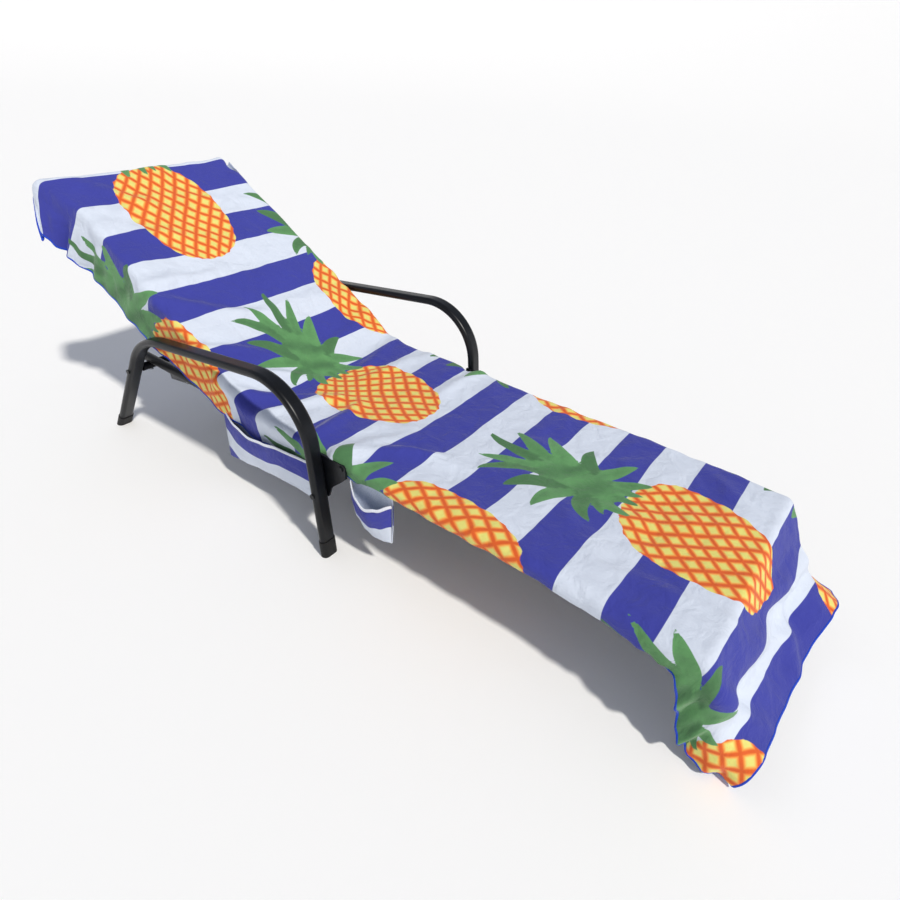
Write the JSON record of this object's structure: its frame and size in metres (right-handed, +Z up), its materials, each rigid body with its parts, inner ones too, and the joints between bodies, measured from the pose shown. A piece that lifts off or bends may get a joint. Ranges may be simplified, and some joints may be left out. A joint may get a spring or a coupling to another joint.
{
  "type": "sun lounger with towel cover",
  "caption": "Reclining sun lounger with bent-tube arms, dressed in a hooded beach-towel cover with side pockets.",
  "frame": {"origin": "on the floor, under the middle of the whole object at the pictured recline", "axes": "+X from the head end to the foot end, +Y to the left of a person lying on it, +Z up"},
  "size_m": [2.0273, 0.666, 0.695],
  "materials": {
    "frame_tube": "satin black powder coat",
    "arm_tube": "semi-gloss black powder coat",
    "zinc_steel": "bright zinc plate",
    "bolt_heads": "bright zinc plate",
    "rack_steel": "dark grey powder coat",
    "black_plastic": "moulded matt black",
    "nylon": "natural white",
    "sling_fabric": "woven charcoal mesh",
    "towel_print": "brushed microfibre, printed with blue and white stripes and pineapples",
    "towel_binding": "woven white binding tape"
  },
  "bodies": {
    "seat_frame": {"seat_rail_right": "frame_tube", "seat_rail_left": "frame_tube", "foot_end_bar": "frame_tube", "rail_connectors": "zinc_steel", "rail_end_plugs": "black_plastic", "hinge_cross_tube": "frame_tube", "arm_cross_tube": "frame_tube", "knee_cross_tube": "frame_tube", "rear_cross_tube": "frame_tube", "rear_rail_bolts": "zinc_steel", "arm_frame_right": "arm_tube", "arm_frame_left": "arm_tube", "arm_bracket_right": "arm_tube", "arm_bracket_left": "arm_tube", "arm_bolts": "bolt_heads", "bracket_bolts": "zinc_steel", "bolt_nuts": "zinc_steel", "rear_leg_bolts": "bolt_heads", "front_foot_right": "black_plastic", "front_foot_left": "black_plastic", "rear_foot_right": "black_plastic", "rear_foot_left": "black_plastic", "foot_leg_right": "frame_tube", "foot_leg_left": "frame_tube", "foot_leg_bar": "frame_tube", "foot_leg_gussets": "frame_tube", "foot_leg_shoe_right": "black_plastic", "foot_leg_shoe_left": "black_plastic", "rack_right": "rack_steel", "rack_left": "rack_steel", "hinge_bolts": "zinc_steel", "hinge_washers": "nylon", "seat_sling": "sling_fabric", "towel_seat": "towel_print", "towel_drop": "towel_print", "side_pocket_right": "towel_print", "side_pocket_left": "towel_print", "end_pocket_right": "towel_print", "end_pocket_left": "towel_print", "pocket_bindings": "towel_binding"},
    "backrest": {"back_tube_right": "frame_tube", "back_tube_left": "frame_tube", "back_top_bar": "frame_tube", "back_cross_bars": "frame_tube", "back_connectors": "zinc_steel", "back_end_plugs": "black_plastic", "hinge_bushes": "nylon", "prop_pins": "zinc_steel", "back_sling": "sling_fabric", "towel_back": "towel_print", "towel_hood": "towel_print"},
    "prop": {"prop_leg_right": "frame_tube", "prop_leg_left": "frame_tube", "prop_bar": "zinc_steel"}
  },
  "joints": [
    {"name": "backrest_recline", "type": "hinge", "parent": "seat_frame", "child": "backrest", "pos_m": [-0.32228, 0, 0.261], "axis": [0, 1, 0], "range_deg": [-31.6, 33.4]},
    {"name": "prop_fold", "type": "hinge", "parent": "backrest", "child": "prop", "pos_m": [-0.50966, 0, 0.37628], "axis": [0, 1, 0], "range_deg": [-67, 63.4]}
  ],
  "couplings": [
    {"joint": "prop_fold", "follows": "backrest_recline", "ratio": -2}
  ]
}
